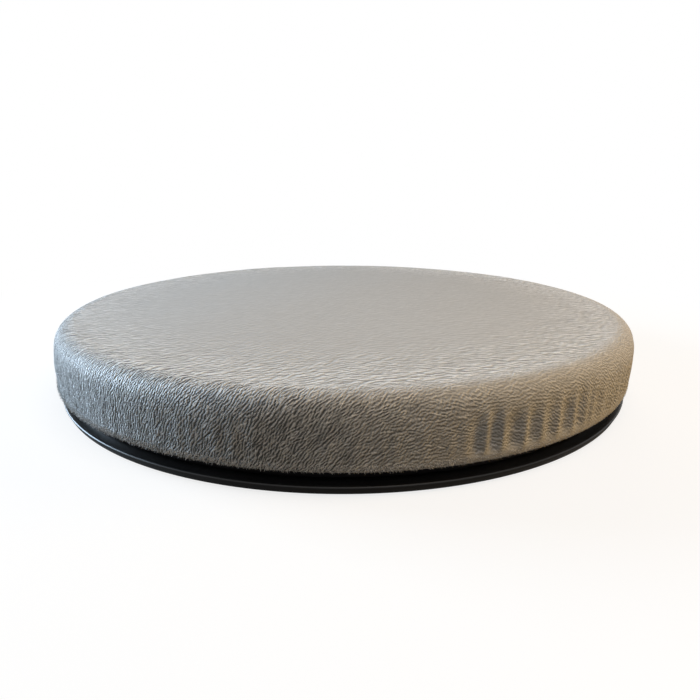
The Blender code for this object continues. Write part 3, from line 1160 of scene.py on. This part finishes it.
def makeTurntable():
    shape = turntableShape
    track = (race["radius"], race["height"])
    ridgeFoot = race["height"] + race["lip"]
    flangeTurn = (shape["flange"] - shape["flangeRound"], shape["top"] - shape["flangeRound"])
    skirtInside = shape["skirt"] - shape["skirtWall"]
    outline = [
        (shape["bushHole"], shape["recessFloor"]),
        (shape["recess"], shape["recessFloor"]),
        (shape["recess"], shape["top"]),
        *arcPoints(flangeTurn, shape["flangeRound"], 90, 0, 4),
        (shape["flange"], shape["under"]),
        (shape["skirt"], shape["under"]),
        (shape["skirt"], shape["skirtFoot"]),
        (skirtInside, shape["skirtFoot"]),
        (skirtInside, shape["under"]),
        (race["outside"], shape["under"]),
        (race["outside"], ridgeFoot),
        *arcPoints(track, race["round"], race["edge"], 180 - race["edge"], race["steps"]),
        (race["inside"], ridgeFoot),
        (race["inside"], shape["under"]),
        (shape["hub"], shape["under"]),
        (shape["hub"], shape["hubUnder"]),
        (shape["bushHole"], shape["hubUnder"]),
    ]
    plate = turnedPiece("turntablePlate", outline, shape["sectors"])
    softEdges(plate, shape["edge"])
    inner = makeRibs("innerRibs", shape["hub"], race["inside"], shape["ribFoot"], shape["under"])
    outer = makeRibs("outerRibs", race["outside"], skirtInside, shape["ribFoot"], shape["under"])
    joinPieces(plate, [inner, outer])
    smoothOver(plate)
    finishPiece(plate, blackPlastic, "seat", "black_plastic", "turntable_plate")


def makeGripPads():
    shape = padShape
    outline = [
        (0, shape["top"]),
        (shape["radius"], shape["top"]),
        (shape["radius"], shape["bevel"]),
        (shape["radius"] - shape["bevel"], 0),
    ]
    half = shape["grooveWidth"] / 2
    floor = half * shape["grooveFloor"]
    for middle in shape["grooves"]:
        outline += [
            (middle + half, 0),
            (middle + floor, shape["grooveDepth"]),
            (middle - floor, shape["grooveDepth"]),
            (middle - half, 0),
        ]
    outline.append((0, 0))
    for number in range(shape["count"]):
        pad = turnedPiece(f"gripPad{number + 1}", outline, shape["sectors"], closed=False)
        editAll(pad)
        angle = math.tau * number / shape["count"]
        across = shape["circle"] * math.cos(angle)
        back = shape["circle"] * math.sin(angle)
        bpy.ops.transform.translate(value=(across, back, 0))
        leaveEdit()
        smoothOver(pad)
        finishPiece(pad, rubber, "base", "rubber", f"grip_pad_{number + 1}")


makeBasePlate()
makeTurntable()
makeGripPads()
print("plates and grip pads made")


# the fittings keep their CAD shapes

fittings = {
    "pivot_bolt": platedSteel,
    "retaining_washer": platedSteel,
    "lock_nut": platedSteel,
    "pivot_bush": nylon,
    "thrust_washer": nylon,
    "ball_cage": nylon,
}

for name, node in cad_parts.items():
    material = fittings.get(name)
    if not material and name.startswith("ball_"):
        material = polishedSteel
    if material:
        for materialSlot in node.material_slots:
            materialSlot.material = material
print("fittings finished")


# the floor, the lights and the camera

studio = {
    "floorRadius": 4.0,
    "floorHeight": -0.0001,                  # just under the soles of the pads
    "white": (1, 1, 1, 1),
    "shadowReach": (0.22, 0.5),              # the shadow fades out between these distances from the axis
    "shadowed": (0.25, 0.25, 0.25, 1),       # the part of the floor that a shadow darkens
    "glow": 0.8,                             # and the part that it leaves
    "mirroredGlow": 0.08,                    # which is this where the object mirrors the floor
    "bounceColour": (0.21, 0.18, 0.14, 1),   # of the floor, for the light that it throws back
    "skyColour": (0.97, 0.965, 0.95, 1),     # of the sky, for the light that it gives
    "skyStrength": 0.15,
}

lamps = [
    # name, place, aim, size, power, colour, and whether glossy surfaces mirror it
    ("overheadSoftbox", (0.16, -0.31, 0.75), (0, -0.04, 0.04), 0.4, 2.13, (0.985, 0.83, 0.665), True),
    ("leftSoftbox", (-1.32, 0.34, 0.35), (-0.1, 0, 0.03), 0.65, 34.5, (0.61, 0.8, 1.0), True),
    ("rightSoftbox", (1.2, -0.12, 0.36), (0.1, 0, 0.03), 0.5, 7.8, (1.0, 0.6, 0.16), False),
    ("backSoftbox", (0.45, 1.2, 0.3), (0, 0.1, 0.03), 0.6, 7.0, (1.0, 0.98, 0.95), False),
]


def seenDirectly(tree):  # 1 for what is looked at or mirrored, and 0 for what only throws light
    path = addNode(tree, "ShaderNodeLightPath").outputs
    both = calculate(tree, "MAXIMUM", path["Is Camera Ray"], path["Is Glossy Ray"])
    return calculate(tree, "MAXIMUM", both, path["Is Transmission Ray"])


def mixedShaders(tree, share, first, second):
    return addNode(tree, "ShaderNodeMixShader", {0: share, 1: first, 2: second}).outputs[0]


def makeFloor():
    bpy.ops.object.select_all(action="DESELECT")
    bpy.ops.mesh.primitive_circle_add(
        vertices=96,
        radius=studio["floorRadius"],
        fill_type="NGON",
        location=(0, 0, studio["floorHeight"]),
    )
    floor = bpy.context.object
    floor.name = "studioFloor"
    material, tree, shader = newMaterial("studioFloor")
    tree.nodes.remove(shader)
    place = addNode(tree, "ShaderNodeTexCoord").outputs["Object"]
    away = addNode(tree, "ShaderNodeVectorMath", {0: place}, operation="LENGTH").outputs["Value"]
    faded = between(tree, away, studio["shadowReach"])
    white = addNode(tree, "ShaderNodeEmission", {"Color": studio["white"], "Strength": 1.0}).outputs[0]
    pale = addNode(tree, "ShaderNodeBsdfDiffuse", {"Color": studio["shadowed"]}).outputs[0]
    glossy = addNode(tree, "ShaderNodeLightPath").outputs["Is Glossy Ray"]
    strength = mixed(tree, glossy, studio["glow"], studio["mirroredGlow"])
    glow = addNode(tree, "ShaderNodeEmission", {"Color": studio["white"], "Strength": strength}).outputs[0]
    shaded = addNode(tree, "ShaderNodeAddShader", {0: pale, 1: glow}).outputs[0]
    shown = mixedShaders(tree, faded, shaded, white)
    bounce = addNode(tree, "ShaderNodeBsdfDiffuse", {"Color": studio["bounceColour"]}).outputs[0]
    both = mixedShaders(tree, seenDirectly(tree), bounce, shown)
    tree.links.new(both, tree.nodes["Material Output"].inputs["Surface"])
    floor.data.materials.append(material)


def makeWorld():
    world = bpy.data.worlds.new("studioWorld")
    bpy.context.scene.world = world
    world.use_nodes = True
    tree = world.node_tree
    sky = tree.nodes["Background"]
    sky.inputs["Color"].default_value = studio["skyColour"]
    sky.inputs["Strength"].default_value = studio["skyStrength"]
    white = addNode(tree, "ShaderNodeBackground", {"Color": studio["white"], "Strength": 1.0}).outputs[0]
    both = mixedShaders(tree, seenDirectly(tree), sky.outputs[0], white)
    tree.links.new(both, tree.nodes["World Output"].inputs["Surface"])


def makeLamp(name, place, aim, size, power, colour, mirrored):
    light = bpy.data.lights.new(name, "AREA")
    light.shape = "SQUARE"
    light.size = size
    light.energy = power
    light.color = colour
    lamp = bpy.data.objects.new(name, light)
    bpy.context.scene.collection.objects.link(lamp)
    lamp.location = place
    lamp.rotation_euler = (Vector(aim) - Vector(place)).to_track_quat("-Z", "Y").to_euler()
    lamp.visible_glossy = mirrored


cameraSetup = {
    "place": (0, -0.4117, 0.13247),
    "pitchDown": 16.59,   # degrees
    "turnRight": 0.58,
    "roll": 0.126,
    "lens": 28.7,
}


def makeCamera():
    data = bpy.data.cameras.new("photoCamera")
    data.lens = cameraSetup["lens"]
    data.sensor_width = 36
    data.clip_start = 0.01
    camera = bpy.data.objects.new("photoCamera", data)
    bpy.context.scene.collection.objects.link(camera)
    turn = Matrix.Rotation(math.radians(-cameraSetup["turnRight"]), 4, "Z")
    tilt = Matrix.Rotation(math.radians(90 - cameraSetup["pitchDown"]), 4, "X")
    roll = Matrix.Rotation(math.radians(cameraSetup["roll"]), 4, "Z")
    camera.matrix_world = Matrix.Translation(cameraSetup["place"]) @ turn @ tilt @ roll
    bpy.context.scene.camera = camera


makeFloor()
makeWorld()
for lamp in lamps:
    makeLamp(*lamp)
makeCamera()
bpy.context.scene.view_settings.view_transform = "Standard"
print("studio made")
